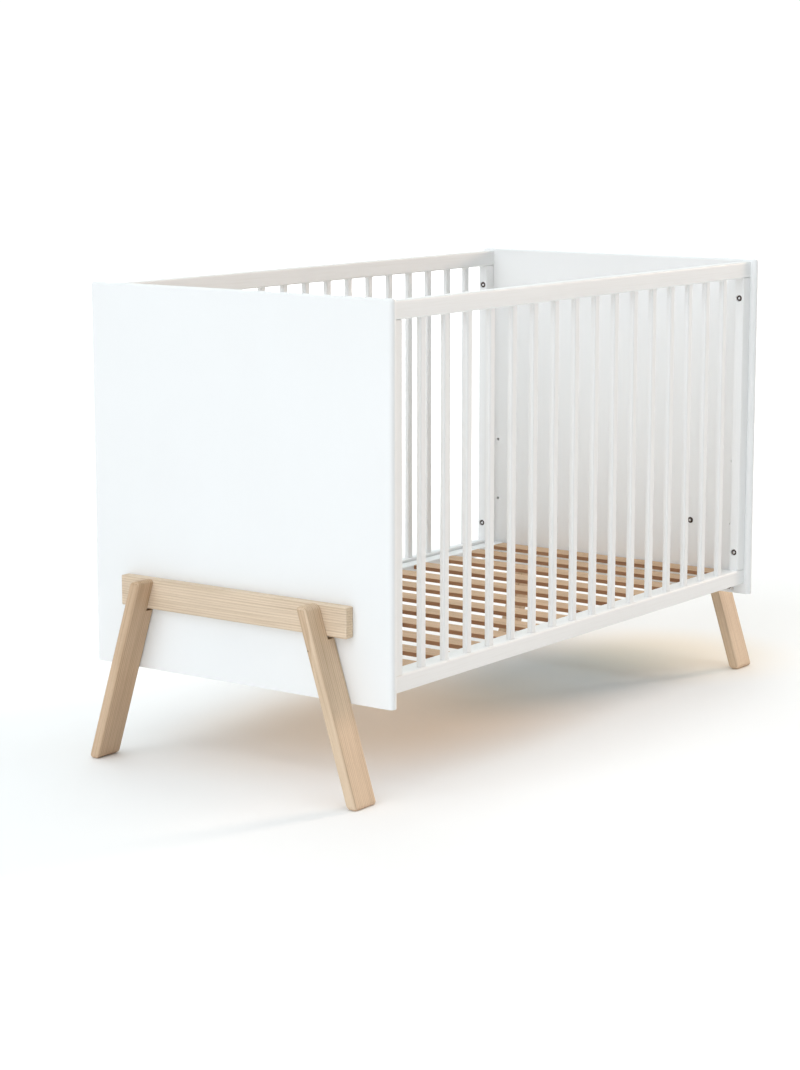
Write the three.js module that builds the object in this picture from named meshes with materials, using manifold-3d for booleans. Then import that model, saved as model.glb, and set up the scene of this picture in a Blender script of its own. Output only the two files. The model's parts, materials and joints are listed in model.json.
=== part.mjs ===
// A baby crib: two solid end panels, two sides of slender bars, four splayed legs on timber
// cross beams, and a slatted bed base that hangs on steel brackets at one of three heights.
// Millimetres. X runs along the crib, Y across it and Z up. The origin is on the floor, under
// the middle of the crib. "left" and "right" are the -X and +X ends, "front" and "back" the
// -Y and +Y sides.
import * as THREE from "three";
import { mergeVertices } from "three/addons/utils/BufferGeometryUtils.js";
import Module from "manifold-3d";

const wasm = await Module();
wasm.setup();

// ---------- Driving dimensions ----------

// End panels. The space between them takes a 600 x 1200 mattress with a little room.
const INNER_LENGTH = 1210;
const PANEL_WIDTH = 665;
const PANEL_THICKNESS = 18;
const PANEL_HEIGHT = 684;
const PANEL_BOTTOM = 166;
const PANEL_NOSE = 8.9; // radius of the rounded upright edges
const PANEL_TOP_ROUND = 5;
const PANEL_CORNER = 4;

// Side frames: two rails, two stiles and the bars between them.
const SIDE_INSET = 11.5; // from the panel's upright edge to the side frame's outer face
const SIDE_DEPTH = 20;
const TOP_RAIL_HEIGHT = 32.5;
const TOP_RAIL_DROP = 4.5; // below the panel's top
const BOTTOM_RAIL_HEIGHT = 31;
const BOTTOM_RAIL_RISE = 21.5; // above the panel's bottom
const RAIL_ROUND = 4;
const STILE_WIDTH = 28;
const STILE_ROUND = 2.5;
const BAR_COUNT = 16;
const BAR_WIDTH = 16;
const BAR_DEPTH = 10;
const BAR_ROUND = 3;
const BAR_END_GAP = 57.5; // between a stile and the bar next to it
const BAR_SHOULDER = 2; // how far a bar's tenon is set in from its faces
const STILE_SHOULDER = 6;
const TENON_LENGTH = 8;
const TENON_CLEARANCE = 0.3;

// Leg frames: one cross beam on each panel's outer face, and two splayed legs let over it.
const BEAM_LENGTH = 504;
const BEAM_HEIGHT = 54;
const BEAM_THICKNESS = 20;
const BEAM_TOP = 334.5;
const BEAM_ROUND = 3;
const BEAM_END_EASE = 2;
const LEG_DEPTH = 60;
const LEG_THICKNESS = 20;
const LEG_SPLAY = THREE.MathUtils.degToRad(17.75);
const LEG_TOP_OFFSET = 184.6; // from the middle of the crib to a leg's centre line, at its top
const LEG_ARRIS = 5;
const LEG_END_EASE = 4;
const LEG_SHOULDER_GAP = 5; // between the beam's underside and the notch's shoulder
const LEG_CLEARANCE = 0.3;

// Bolts that hold each leg, through the panel and the beam.
const BOLT_DIAMETER = 8;
const BOLT_HOLE_DIAMETER = 8.8;
const BOLT_GRIP_IN_LEG = 28;
const BOLT_TIP_CLEARANCE = 1;
const BOLT_HEAD_DIAMETER = 14;
const BOLT_HEAD_HEIGHT = 3;
const BOLT_SOCKET_WIDTH = 5;
const BOLT_SOCKET_DEPTH = 1.8;

// Bed base: slats let into two side rails that run along the crib.
const SLAT_COUNT = 13;
const SLAT_WIDTH = 44;
const SLAT_THICKNESS = 8.5;
const SLAT_ROUND = 2.2;
const SLAT_LET_IN = 12; // how far a slat's end goes into a side rail
const SLAT_BELOW_TOP = 0.5; // from the side rails' top down to the slats' top
const BASE_RAIL_WIDTH = 29.5;
const BASE_RAIL_THICKNESS = 18;
const BASE_RAIL_ROUND = 1.5;
const BASE_END_CLEARANCE = 5;
const BASE_SIDE_CLEARANCE = 3;

// Brackets under the side rails, and the rows of holes that take their bolts.
const HEIGHT_LEVELS = 3;
const LEVEL_SPACING = 129;
const LOWEST_LEVEL = 13.7; // above the panel's bottom
const LEVEL_HOLE_INSET = 13; // from the side frame's inner face to the row of holes
const LEVEL_HOLE_DIAMETER = 6.5;
const LEVEL_HOLE_DEPTH = 12;
const BRACKET_THICKNESS = 2;
const BRACKET_WIDTH = 20;
const BRACKET_REACH = 24; // under the side rail, from the flange's back
const BRACKET_RISE = 15.3; // from the bolt's centre to the side rail's underside
const BRACKET_BELOW_BOLT = 8;
const BRACKET_CLEARANCE = 0.5;
const BRACKET_BOLT_DIAMETER = 12;
const BRACKET_BOLT_HEIGHT = 3.5;

// Fineness of the round stretches, and the overshoot that makes a cut clean.
const ARC_STEPS = 1;
const NOSE_STEPS = 4;
const EASE_STEPS = 2;
const HOLE_SIDES = 16;
const OVERSHOOT = 5;
const WELD_DISTANCE = 1e-4;

// ---------- Places worked out from the dimensions ----------

const panelInnerX = INNER_LENGTH / 2;
const panelOuterX = panelInnerX + PANEL_THICKNESS;
const panelTop = PANEL_BOTTOM + PANEL_HEIGHT;
const sideOuterY = PANEL_WIDTH / 2 - SIDE_INSET;
const sideInnerY = sideOuterY - SIDE_DEPTH;
const sideMiddleY = sideOuterY - SIDE_DEPTH / 2;
const topRailTop = panelTop - TOP_RAIL_DROP;
const topRailBottom = topRailTop - TOP_RAIL_HEIGHT;
const bottomRailBottom = PANEL_BOTTOM + BOTTOM_RAIL_RISE;
const bottomRailTop = bottomRailBottom + BOTTOM_RAIL_HEIGHT;
const betweenRails = topRailBottom - bottomRailTop;
const stileMiddleX = panelInnerX - STILE_WIDTH / 2;
const firstBarX = panelInnerX - STILE_WIDTH - BAR_END_GAP - BAR_WIDTH / 2;
const barPitch = (2 * firstBarX) / (BAR_COUNT - 1);
const beamBottom = BEAM_TOP - BEAM_HEIGHT;
const beamMiddle = BEAM_TOP - BEAM_HEIGHT / 2;
const beamOuterX = panelOuterX + BEAM_THICKNESS;
const legInnerX = panelOuterX + LEG_CLEARANCE;
const legOuterX = panelOuterX + LEG_DEPTH;
const notchOuterX = beamOuterX + LEG_CLEARANCE;
const notchBottom = beamBottom - LEG_SHOULDER_GAP;
const boltTipX = notchOuterX + BOLT_GRIP_IN_LEG;
const boltY = legOffset(beamMiddle);
const lowestLevel = PANEL_BOTTOM + LOWEST_LEVEL;
const levelHoleY = sideInnerY - LEVEL_HOLE_INSET;
const baseRailBottom = lowestLevel + BRACKET_RISE;
const baseRailTop = baseRailBottom + BASE_RAIL_THICKNESS;
const baseRailOuterY = sideInnerY - BASE_SIDE_CLEARANCE;
const baseRailLength = INNER_LENGTH - 2 * BASE_END_CLEARANCE;
const slatLength = 2 * (baseRailOuterY - BASE_RAIL_WIDTH + SLAT_LET_IN);
const firstSlatX = (baseRailLength - SLAT_WIDTH) / 2;
const slatPitch = (2 * firstSlatX) / (SLAT_COUNT - 1);

const ENDS = [
  { name: "left", sign: -1 },
  { name: "right", sign: 1 },
];
const SIDES = [
  { name: "front", sign: -1 },
  { name: "back", sign: 1 },
];

// ---------- Materials ----------

const PAINT = { color: 0xf1f3f2, roughness: 0.42, metalness: 0 };
const TIMBER = { color: 0xdcc5a5, roughness: 0.55, metalness: 0 };
const SLAT_WOOD = { color: 0xbea07d, roughness: 0.65, metalness: 0 };
const STEEL = { color: 0xb9bdc1, roughness: 0.32, metalness: 1 };

// ---------- Solids ----------

// A closed geometry as a manifold solid.
function toSolid(geometry) {
  const bare = geometry.clone();
  bare.deleteAttribute("normal");
  bare.deleteAttribute("uv");
  const welded = mergeVertices(bare, WELD_DISTANCE);
  const mesh = new wasm.Mesh({
    numProp: 3,
    vertProperties: welded.attributes.position.array,
    triVerts: new Uint32Array(welded.index.array),
  });
  return new wasm.Manifold(mesh);
}

// A manifold solid as a geometry.
function toGeometry(solid) {
  const { vertProperties, triVerts } = solid.getMesh();
  const geometry = new THREE.BufferGeometry();
  geometry.setAttribute("position", new THREE.BufferAttribute(vertProperties, 3));
  geometry.setIndex(new THREE.BufferAttribute(triVerts, 1));
  geometry.computeVertexNormals();
  return geometry;
}

// Takes each of the cutting geometries away from a body geometry.
function cut(body, cutters) {
  const start = toSolid(body);
  return toGeometry(cutters.reduce((solid, cutter) => solid.subtract(toSolid(cutter)), start));
}

// Joins geometries that touch or overlap into one body.
function join(pieces) {
  const [first, ...others] = pieces.map(toSolid);
  return toGeometry(others.reduce((solid, other) => solid.add(other), first));
}

// A rectangle about the origin with round corners.
function roundedRect(width, height, radius) {
  const x = width / 2 - radius;
  const y = height / 2 - radius;
  const shape = new THREE.Shape();
  shape.absarc(x, y, radius, 0, Math.PI / 2);
  shape.absarc(-x, y, radius, Math.PI / 2, Math.PI);
  shape.absarc(-x, -y, radius, Math.PI, 1.5 * Math.PI);
  shape.absarc(x, -y, radius, 1.5 * Math.PI, 2 * Math.PI);
  return shape;
}

// How a shape's own x, y and extrusion directions lie in the crib: [shape x, shape y, extrusion].
const X = new THREE.Vector3(1, 0, 0);
const Y = new THREE.Vector3(0, 1, 0);
const Z = new THREE.Vector3(0, 0, 1);
const ALONG_X = [Y, Z, X];
const ALONG_Y = [Z, X, Y];
const ALONG_Z = [X, Y, Z];

// A shape extruded by a length, centred on the origin. Its two ends are eased by a round of
// that size, which is smaller than the shape's own corner radius.
function prism(shape, length, directions, ease = 0, steps = ARC_STEPS) {
  const geometry = new THREE.ExtrudeGeometry(shape, {
    depth: length - 2 * ease,
    curveSegments: steps,
    bevelEnabled: ease > 0,
    bevelSize: ease,
    bevelOffset: -ease,
    bevelThickness: ease,
    bevelSegments: EASE_STEPS,
  });
  geometry.translate(0, 0, ease - length / 2);
  return geometry.applyMatrix4(new THREE.Matrix4().makeBasis(...directions));
}

// A plain block about the origin.
function block(length, width, height) {
  return new THREE.BoxGeometry(length, width, height);
}

// A cylinder about the origin whose axis runs along X.
function cylinderAlongX(diameter, length, sides = HOLE_SIDES) {
  const geometry = new THREE.CylinderGeometry(diameter / 2, diameter / 2, length, sides);
  return geometry.rotateZ(Math.PI / 2);
}

// A leg's centre line leaves the middle of the crib by this much at a height.
function legOffset(height) {
  return LEG_TOP_OFFSET + (BEAM_TOP - height) * Math.tan(LEG_SPLAY);
}

// ---------- Sub-parts ----------

// A panel's outline from the front, as wide as the panel and with eased top corners.
function panelFrontOutline() {
  return roundedRect(PANEL_WIDTH, PANEL_HEIGHT, PANEL_CORNER);
}

// A panel's outline from the side: square at the bottom, rounded over the top.
function panelSideOutline() {
  const half = PANEL_THICKNESS / 2;
  const top = PANEL_HEIGHT / 2;
  const shape = new THREE.Shape();
  shape.moveTo(top - PANEL_TOP_ROUND, half);
  shape.lineTo(-top, half);
  shape.lineTo(-top, -half);
  shape.absarc(top - PANEL_TOP_ROUND, PANEL_TOP_ROUND - half, PANEL_TOP_ROUND, 1.5 * Math.PI, 2 * Math.PI);
  shape.absarc(top - PANEL_TOP_ROUND, half - PANEL_TOP_ROUND, PANEL_TOP_ROUND, 0, Math.PI / 2);
  return shape;
}

// The blind holes in a panel's inner face that take the bracket bolts at each height.
function levelHoles(end) {
  const holes = [];
  for (const side of SIDES) {
    for (let level = 0; level < HEIGHT_LEVELS; level++) {
      const hole = cylinderAlongX(LEVEL_HOLE_DIAMETER, LEVEL_HOLE_DEPTH + OVERSHOOT);
      const x = panelInnerX + (LEVEL_HOLE_DEPTH - OVERSHOOT) / 2;
      holes.push(hole.translate(end.sign * x, side.sign * levelHoleY, lowestLevel + level * LEVEL_SPACING));
    }
  }
  return holes;
}

// The holes for the leg bolts, from inside the panel to the bolts' ends in the legs.
function boltHoles(end) {
  const start = panelInnerX - OVERSHOOT;
  const length = boltTipX + BOLT_TIP_CLEARANCE - start;
  return SIDES.map((side) => {
    const hole = cylinderAlongX(BOLT_HOLE_DIAMETER, length);
    return hole.translate(end.sign * (start + length / 2), side.sign * boltY, beamMiddle);
  });
}

// A solid end panel: rounded upright edges, an eased top, and its rows of holes.
function endPanel(end) {
  const plan = roundedRect(PANEL_THICKNESS, PANEL_WIDTH, PANEL_NOSE);
  const upright = toSolid(prism(plan, PANEL_HEIGHT, ALONG_Z, 0, NOSE_STEPS));
  const across = toSolid(prism(panelSideOutline(), PANEL_WIDTH + OVERSHOOT, ALONG_Y));
  const slab = toSolid(prism(panelFrontOutline(), PANEL_THICKNESS + OVERSHOOT, ALONG_X));
  const panel = toGeometry(upright.intersect(across).intersect(slab));
  const x = panelInnerX + PANEL_THICKNESS / 2;
  panel.translate(end.sign * x, 0, PANEL_BOTTOM + PANEL_HEIGHT / 2);
  return cut(panel, [...levelHoles(end), ...boltHoles(end)]);
}

// A bar's or a stile's outline, cut square across and standing between the rails.
const MEMBERS = {
  bar: { width: BAR_WIDTH, depth: BAR_DEPTH, round: BAR_ROUND, shoulder: BAR_SHOULDER },
  stile: { width: STILE_WIDTH, depth: SIDE_DEPTH, round: STILE_ROUND, shoulder: STILE_SHOULDER },
};

// An upright member with a tenon at each end, about the origin.
function uprightMember(member) {
  const outline = roundedRect(member.width, member.depth, member.round);
  const shaft = prism(outline, betweenRails, ALONG_Z);
  const tenonWidth = member.width - 2 * member.shoulder;
  const tenonDepth = member.depth - 2 * member.shoulder;
  return join([shaft, block(tenonWidth, tenonDepth, betweenRails + 2 * TENON_LENGTH)]);
}

// The mortise for a member's tenons, long enough to run from rail to rail.
function mortise(member, x, y) {
  const width = member.width - 2 * member.shoulder + 2 * TENON_CLEARANCE;
  const depth = member.depth - 2 * member.shoulder + 2 * TENON_CLEARANCE;
  const reach = betweenRails + 2 * (TENON_LENGTH + TENON_CLEARANCE);
  return block(width, depth, reach).translate(x, y, bottomRailTop + betweenRails / 2);
}

// Where the bars stand along the crib.
function barPlaces() {
  return Array.from({ length: BAR_COUNT }, (_, i) => i * barPitch - firstBarX);
}

// A rail from panel to panel between two heights, with its mortises.
function rail(side, bottom, top) {
  const y = side.sign * sideMiddleY;
  const body = prism(roundedRect(SIDE_DEPTH, top - bottom, RAIL_ROUND), INNER_LENGTH, ALONG_X);
  body.translate(0, y, (bottom + top) / 2);
  const barMortises = barPlaces().map((x) => mortise(MEMBERS.bar, x, y));
  const stileMortises = ENDS.map((end) => mortise(MEMBERS.stile, end.sign * stileMiddleX, y));
  return cut(body, [...barMortises, ...stileMortises]);
}

// The timber beam across a panel's outer face.
function legBeam(end) {
  const section = roundedRect(BEAM_HEIGHT, BEAM_THICKNESS, BEAM_ROUND);
  const beam = prism(section, BEAM_LENGTH, ALONG_Y, BEAM_END_EASE);
  beam.translate(end.sign * (panelOuterX + BEAM_THICKNESS / 2), 0, beamMiddle);
  return cut(beam, boltHoles(end));
}

// A leg: a board on edge that leans outwards, notched behind to sit over the beam.
function leg(end, side) {
  const width = LEG_THICKNESS / Math.cos(LEG_SPLAY);
  const section = roundedRect(legOuterX - legInnerX, width, LEG_ARRIS);
  const board = prism(section, BEAM_TOP, ALONG_Z, LEG_END_EASE);
  board.applyMatrix4(new THREE.Matrix4().makeShear(0, 0, 0, 0, 0, -side.sign * Math.tan(LEG_SPLAY)));
  const middleY = legOffset(BEAM_TOP / 2);
  board.translate((end.sign * (legInnerX + legOuterX)) / 2, side.sign * middleY, BEAM_TOP / 2);
  const height = BEAM_TOP - notchBottom + OVERSHOOT;
  const depth = notchOuterX - legInnerX + OVERSHOOT;
  const notch = block(depth, 2 * (width + height), height);
  notch.translate(end.sign * (notchOuterX - depth / 2), side.sign * boltY, notchBottom + height / 2);
  return cut(board, [notch, ...boltHoles(end)]);
}

// A bolt with a flat round head inside the panel and a hexagon socket.
function legBolt(end, side) {
  const head = cylinderAlongX(BOLT_HEAD_DIAMETER, BOLT_HEAD_HEIGHT);
  head.translate(end.sign * (panelInnerX - BOLT_HEAD_HEIGHT / 2), 0, 0);
  const shankStart = panelInnerX - BOLT_HEAD_HEIGHT / 2;
  const shank = cylinderAlongX(BOLT_DIAMETER, boltTipX - shankStart);
  shank.translate((end.sign * (shankStart + boltTipX)) / 2, 0, 0);
  const across = BOLT_SOCKET_WIDTH / Math.cos(Math.PI / 6);
  const socket = cylinderAlongX(across, 2 * BOLT_SOCKET_DEPTH, 6);
  socket.translate(end.sign * (panelInnerX - BOLT_HEAD_HEIGHT), 0, 0);
  return cut(join([head, shank]), [socket]).translate(0, side.sign * boltY, beamMiddle);
}

// The bed base: two side rails along the crib and the slats let into them.
function slattedBase() {
  const section = roundedRect(BASE_RAIL_WIDTH, BASE_RAIL_THICKNESS, BASE_RAIL_ROUND);
  const rail = prism(section, baseRailLength, ALONG_X);
  const railY = baseRailOuterY - BASE_RAIL_WIDTH / 2;
  const rails = SIDES.map((side) =>
    rail.clone().translate(0, side.sign * railY, baseRailTop - BASE_RAIL_THICKNESS / 2),
  );
  const slat = prism(roundedRect(SLAT_THICKNESS, SLAT_WIDTH, SLAT_ROUND), slatLength, ALONG_Y);
  const slatZ = baseRailTop - SLAT_BELOW_TOP - SLAT_THICKNESS / 2;
  const slats = Array.from({ length: SLAT_COUNT }, (_, i) =>
    slat.clone().translate(i * slatPitch - firstSlatX, 0, slatZ),
  );
  return join([...rails, ...slats]);
}

// A steel angle under a side rail's end, with the head of the bolt that holds it to the panel.
function baseBracket(end, side) {
  const back = panelInnerX - BRACKET_CLEARANCE;
  const face = back - BRACKET_THICKNESS;
  const height = BRACKET_RISE + BRACKET_BELOW_BOLT;
  const flange = block(BRACKET_THICKNESS, BRACKET_WIDTH, height);
  flange.translate(end.sign * (back - BRACKET_THICKNESS / 2), 0, baseRailBottom - height / 2);
  const shelf = block(BRACKET_REACH, BRACKET_WIDTH, BRACKET_THICKNESS);
  shelf.translate(end.sign * (back - BRACKET_REACH / 2), 0, baseRailBottom - BRACKET_THICKNESS / 2);
  const headLength = BRACKET_BOLT_HEIGHT + BRACKET_THICKNESS / 2;
  const head = cylinderAlongX(BRACKET_BOLT_DIAMETER, headLength);
  head.translate(end.sign * (face - BRACKET_BOLT_HEIGHT + headLength / 2), 0, lowestLevel);
  const across = BOLT_SOCKET_WIDTH / Math.cos(Math.PI / 6);
  const socket = cylinderAlongX(across, 2 * BOLT_SOCKET_DEPTH, 6);
  socket.translate(end.sign * (face - BRACKET_BOLT_HEIGHT), 0, lowestLevel);
  return cut(join([flange, shelf, head]), [socket]).translate(0, side.sign * levelHoleY, 0);
}

// ---------- Assembly ----------

const crib = new THREE.Group();
crib.name = "baby_crib";

// Adds a sub-part to the crib under its name, at a place.
function add(name, geometry, finish, x = 0, y = 0, z = 0) {
  const mesh = new THREE.Mesh(geometry, new THREE.MeshStandardMaterial(finish));
  mesh.name = name;
  mesh.position.set(x, y, z);
  crib.add(mesh);
}

for (const end of ENDS) {
  add(`end_panel_${end.name}`, endPanel(end), PAINT);
  add(`leg_beam_${end.name}`, legBeam(end), TIMBER);
}

const bar = uprightMember(MEMBERS.bar);
const stile = uprightMember(MEMBERS.stile);
const memberZ = bottomRailTop + betweenRails / 2;
for (const side of SIDES) {
  const y = side.sign * sideMiddleY;
  add(`top_rail_${side.name}`, rail(side, topRailBottom, topRailTop), PAINT);
  add(`bottom_rail_${side.name}`, rail(side, bottomRailBottom, bottomRailTop), PAINT);
  barPlaces().forEach((x, i) => {
    add(`bar_${side.name}_${String(i + 1).padStart(2, "0")}`, bar, PAINT, x, y, memberZ);
  });
  for (const end of ENDS) {
    const corner = `${end.name}_${side.name}`;
    add(`stile_${corner}`, stile, PAINT, end.sign * stileMiddleX, y, memberZ);
    add(`leg_${corner}`, leg(end, side), TIMBER);
    add(`leg_bolt_${corner}`, legBolt(end, side), STEEL);
    add(`base_bracket_${corner}`, baseBracket(end, side), STEEL);
  }
}
add("slatted_base", slattedBase(), SLAT_WOOD);

export default crib;
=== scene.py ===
# %% [markdown]
# # A baby crib
# This lesson finishes a crib that was designed in CAD. The CAD model says where every piece is.
# Here each piece gets its true surface: eased edges, paint, timber grain and zinc-plated bolts.
# Everything is in metres. X runs along the crib, Y across it and Z up.

# %% Load the crib's frame
import json
import math

import bpy
import numpy as np
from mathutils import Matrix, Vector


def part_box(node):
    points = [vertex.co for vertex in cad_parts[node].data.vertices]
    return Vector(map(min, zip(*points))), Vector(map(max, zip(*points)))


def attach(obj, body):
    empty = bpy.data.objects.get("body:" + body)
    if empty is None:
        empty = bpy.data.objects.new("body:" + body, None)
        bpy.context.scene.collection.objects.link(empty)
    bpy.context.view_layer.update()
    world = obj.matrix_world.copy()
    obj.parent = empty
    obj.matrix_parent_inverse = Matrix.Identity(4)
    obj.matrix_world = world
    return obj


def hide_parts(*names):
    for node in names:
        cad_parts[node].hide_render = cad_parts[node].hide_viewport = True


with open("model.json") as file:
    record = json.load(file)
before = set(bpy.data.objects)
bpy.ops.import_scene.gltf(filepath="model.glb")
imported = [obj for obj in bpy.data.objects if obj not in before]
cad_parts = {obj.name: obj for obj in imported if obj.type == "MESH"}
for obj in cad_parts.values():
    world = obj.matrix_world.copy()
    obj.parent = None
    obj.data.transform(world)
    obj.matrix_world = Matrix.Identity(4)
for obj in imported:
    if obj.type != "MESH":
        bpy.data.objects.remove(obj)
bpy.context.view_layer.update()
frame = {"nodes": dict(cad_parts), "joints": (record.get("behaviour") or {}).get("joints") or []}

ENDS = {"left": -1, "right": 1}
SIDES = {"front": -1, "back": 1}

# %% [markdown]
# ## The camera
# A product picture of furniture is taken from well back with a long lens, so that uprights stay
# nearly parallel. The camera stands off the crib's left front corner, a little above its top
# edge, and looks slightly down. A small lens shift centres the crib in the frame.

# %% Place the camera
CAMERA_PLACE = (-3.935, -2.779, 1.180)
CAMERA_PITCH = math.radians(-9.64)
CAMERA_YAW = math.radians(-54.05)
CAMERA_LENS_MM = 85.6
CAMERA_SHIFT = (-0.0131, -0.0099)
CAMERA_REACH = 100.0


def add_camera():
    """A camera turned first down by the pitch, then about Z by the yaw."""
    data = bpy.data.cameras.new("camera")
    data.lens = CAMERA_LENS_MM
    data.shift_x, data.shift_y = CAMERA_SHIFT
    data.clip_end = CAMERA_REACH
    camera = bpy.data.objects.new("camera", data)
    camera.location = CAMERA_PLACE
    camera.rotation_euler = (math.pi / 2 + CAMERA_PITCH, 0.0, CAMERA_YAW)
    bpy.context.scene.collection.objects.link(camera)
    bpy.context.scene.camera = camera
    return camera


print("camera lens:", add_camera().data.lens, "mm")

# %% [markdown]
# ## Sizes read from the frame
# A node's box says where a piece is, so no piece is placed by eye. Only what a box can't say is
# written as a number, such as how round an edge is and how far a leg leans.

# %% Read a node's box
def middle_and_half(node):
    """A node's middle and half its size, as two arrays."""
    low, high = (np.array(corner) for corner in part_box(node))
    return (low + high) / 2, (high - low) / 2


rail_gap = (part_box("bottom_rail_front")[1][2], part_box("top_rail_front")[0][2])
print("between the rails:", round(rail_gap[1] - rail_gap[0], 4), "m")

# %% [markdown]
# ## One surface for every board
# Nearly every piece of a crib is a board: a rounded rectangle carried along a straight line,
# with its ends eased. A box with a Bevel modifier would do, but a surface worked out from a
# formula gives even, predictable rows of faces, and lets a leg lean while its foot stays flat.

# %% Work out a board's rings
ARC_STEPS = 6
EASE_STEPS = 5


def rounded_rings(half_u, half_v, radius):
    """Rings of a rounded rectangle, one for each entry of the three arrays. In each quarter the
    angle a runs over 90 degrees, and a point is the corner's centre + radius * (cos a, sin a)."""
    turn = (np.arange(4)[:, None] + np.linspace(0, 1, ARC_STEPS + 1)) * (math.pi / 2)
    sign_u = np.array([1, -1, -1, 1])[:, None]
    sign_v = np.array([1, 1, -1, -1])[:, None]
    half_u, half_v, radius = (np.asarray(a)[:, None, None] for a in (half_u, half_v, radius))
    u = sign_u * (half_u - radius) + radius * np.cos(turn)
    v = sign_v * (half_v - radius) + radius * np.sin(turn)
    return np.stack([u, v], axis=-1).reshape(len(u), -1, 2)


def eased_rows(length, ease_start, ease_end):
    """Places along a board and how far the outline draws in there. Over each eased end, as t
    goes from 0 to 90 degrees, the inset is ease * (1 - sin t) at ease * (1 - cos t) from the
    end, which is a quarter circle."""
    t = np.linspace(0, math.pi / 2, EASE_STEPS + 1)
    start = ease_start * (1 - np.cos(t)) - length / 2
    end = length / 2 - ease_end * (1 - np.cos(t[::-1]))
    inset = np.concatenate([ease_start * (1 - np.sin(t)), ease_end * (1 - np.sin(t[::-1]))])
    return np.concatenate([start, end]), inset


print("points round an outline:", 4 * (ARC_STEPS + 1), "rows over an eased end:", EASE_STEPS + 1)

# %% [markdown]
# ## From rings to a piece
# Quads join each ring to the next, and one flat face closes each end. Edges that turn past a
# certain angle stay sharp. A finished piece then rides on a body and hides the CAD nodes it
# stands for. Wide flat faces get weighted normals, because plain smooth shading would make them
# look swollen along their rounded edges.

# %% Turn rings into a closed mesh
SMOOTH_ANGLE = math.radians(32)


def shell_mesh(name, rings):
    """A closed mesh from an array of rings (rows, points, 3): quads between neighbouring rows,
    and one flat face over the first and the last row."""
    rows, count = rings.shape[:2]
    index = np.arange(rows * count).reshape(rows, count)
    after = np.roll(index, -1, axis=1)
    quads = np.stack([index[:-1], after[:-1], after[1:], index[1:]], axis=-1).reshape(-1, 4)
    caps = [index[0, ::-1].tolist(), index[-1].tolist()]
    mesh = bpy.data.meshes.new(name)
    mesh.from_pydata(rings.reshape(-1, 3), [], quads.tolist() + caps)
    mesh.shade_smooth()
    mesh.set_sharp_from_angle(angle=SMOOTH_ANGLE)
    return mesh


def add_piece(name, mesh, material, body, slot, *nodes):
    """Puts a mesh in the scene as a finished piece that rides on a body and stands for nodes."""
    piece = bpy.data.objects.new(name, mesh)
    bpy.context.scene.collection.objects.link(piece)
    piece.data.materials.clear()
    piece.data.materials.append(material)
    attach(piece, body)
    if nodes:
        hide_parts(*nodes)
    return piece


def add_board(name, mesh, material, body, slot, *nodes):
    """A piece whose normals are weighted by face area, so that its flat faces are shaded flat."""
    piece = add_piece(name, mesh, material, body, slot, *nodes)
    weighted = piece.modifiers.new("flat faces", "WEIGHTED_NORMAL")
    weighted.keep_sharp = True


print("edges stay sharp past", round(math.degrees(SMOOTH_ANGLE)), "degrees")

# %% [markdown]
# ## Boards along any axis
# The same kind of board is a rail along X, a beam along Y and a bar along Z. It could be made
# once and turned, but then each board would have coordinates of its own, and places read from
# the frame would have to be turned back. Here a small table says which way the outline lies, and
# every board is made in its own place.

# %% Make a board along any axis
# For a board along an axis: which of X, Y and Z its outline's u and v are, and its length.
ALONG = {"x": (1, 2, 0), "y": (2, 0, 1), "z": (0, 1, 2)}
LEAST_ARRIS_SHARE = 0.15


def board_rings(axis, middle, half, arris, ease=(0.0, 0.0), lean=(0.0, 0.0)):
    """Rings of a board along an axis with arris-rounded long edges and eased ends. A board that
    leans has each ring moved sideways by lean * its distance from the middle."""
    u, v, w = ALONG[axis]
    place, inset = eased_rows(2 * half[w], *ease)
    if max(ease) == 0:
        place, inset = np.array([-half[w], half[w]]), np.zeros(2)
    least = arris * LEAST_ARRIS_SHARE
    outline = rounded_rings(half[u] - inset, half[v] - inset, np.maximum(arris - inset, least))
    rings = np.empty(outline.shape[:2] + (3,))
    rings[..., u] = outline[..., 0] + middle[u] + lean[0] * place[:, None]
    rings[..., v] = outline[..., 1] + middle[v] + lean[1] * place[:, None]
    rings[..., w] = place[:, None] + middle[w]
    return rings


print("boards can run along:", *ALONG)

# %% [markdown]
# ## Cutting
# Real boards are also drilled and notched. A Boolean modifier does that as a saw or a drill
# would. It is applied at once, so that what is left is one plain closed mesh.

# %% Cut a mesh with other meshes
DRILL_SIDES = 40


def cut_away(mesh, cutters):
    """The mesh that is left when each closed cutter mesh has been taken away from a mesh."""
    scene = bpy.context.scene.collection
    work = bpy.data.objects.new("work", mesh)
    scene.objects.link(work)
    tools = []
    for cutter in cutters:
        tool = bpy.data.objects.new("tool", cutter)
        scene.objects.link(tool)
        tools.append(tool)
        saw = work.modifiers.new("cut", "BOOLEAN")
        saw.operation, saw.solver, saw.object = "DIFFERENCE", "EXACT", tool
    view = bpy.context.evaluated_depsgraph_get()
    result = bpy.data.meshes.new_from_object(work.evaluated_get(view))
    for spent in [work] + tools:
        bpy.data.objects.remove(spent)
    result.name = mesh.name + "_cut"
    result.shade_smooth()
    result.set_sharp_from_angle(angle=SMOOTH_ANGLE)
    return result


def drill_mesh(start, end_x, radius):
    """A plain cylinder along X, from a starting point to the place end_x, to drill with: two
    rings of (radius * cos a, radius * sin a)."""
    turn = np.linspace(0, 2 * math.pi, DRILL_SIDES, endpoint=False)
    low, high = sorted((start[0], end_x))
    rings = np.empty((2, DRILL_SIDES, 3))
    rings[..., 0] = np.array([low, high])[:, None]
    rings[..., 1] = start[1] + radius * np.cos(turn)
    rings[..., 2] = start[2] + radius * np.sin(turn)
    return shell_mesh("drill", rings)


print("sides of a drilled hole:", DRILL_SIDES)

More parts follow.
